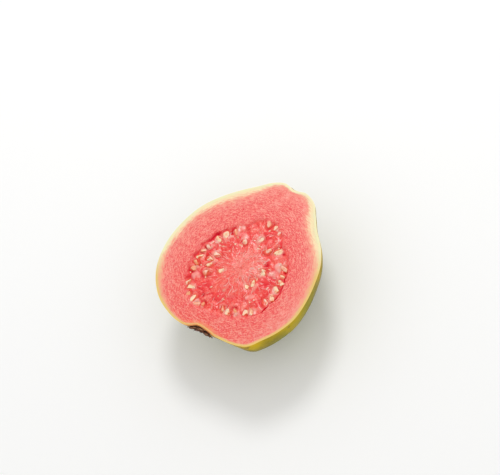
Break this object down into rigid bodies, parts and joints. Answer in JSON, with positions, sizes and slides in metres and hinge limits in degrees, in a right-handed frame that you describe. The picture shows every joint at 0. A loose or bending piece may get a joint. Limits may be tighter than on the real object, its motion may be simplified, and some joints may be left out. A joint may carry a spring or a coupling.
{
  "type": "halved guava",
  "caption": "Half of a pink guava cut lengthwise: yellow-green skin, pink flesh, a zone of pulp with small hard seeds, and the dried calyx. It lies on its back, cut face up.",
  "frame": {"origin": "middle of the small flat spot on the back that the half rests on", "axes": "+Z out of the cut face, +X along the fruit from the calyx to the stem end, +Y to the left"},
  "size_m": [0.0854, 0.0784, 0.0382],
  "materials": {
    "flesh": "moist cut fruit flesh, satin",
    "dried_calyx": "dry, matt, dark brown",
    "skin": "thin yellow-green fruit skin, waxy",
    "pulp": "wet fruit pulp, glossy",
    "seed": "hard cream seed, wet"
  },
  "bodies": {
    "root": {"guava_half": "flesh", "calyx": "dried_calyx"}
  },
  "joints": []
}
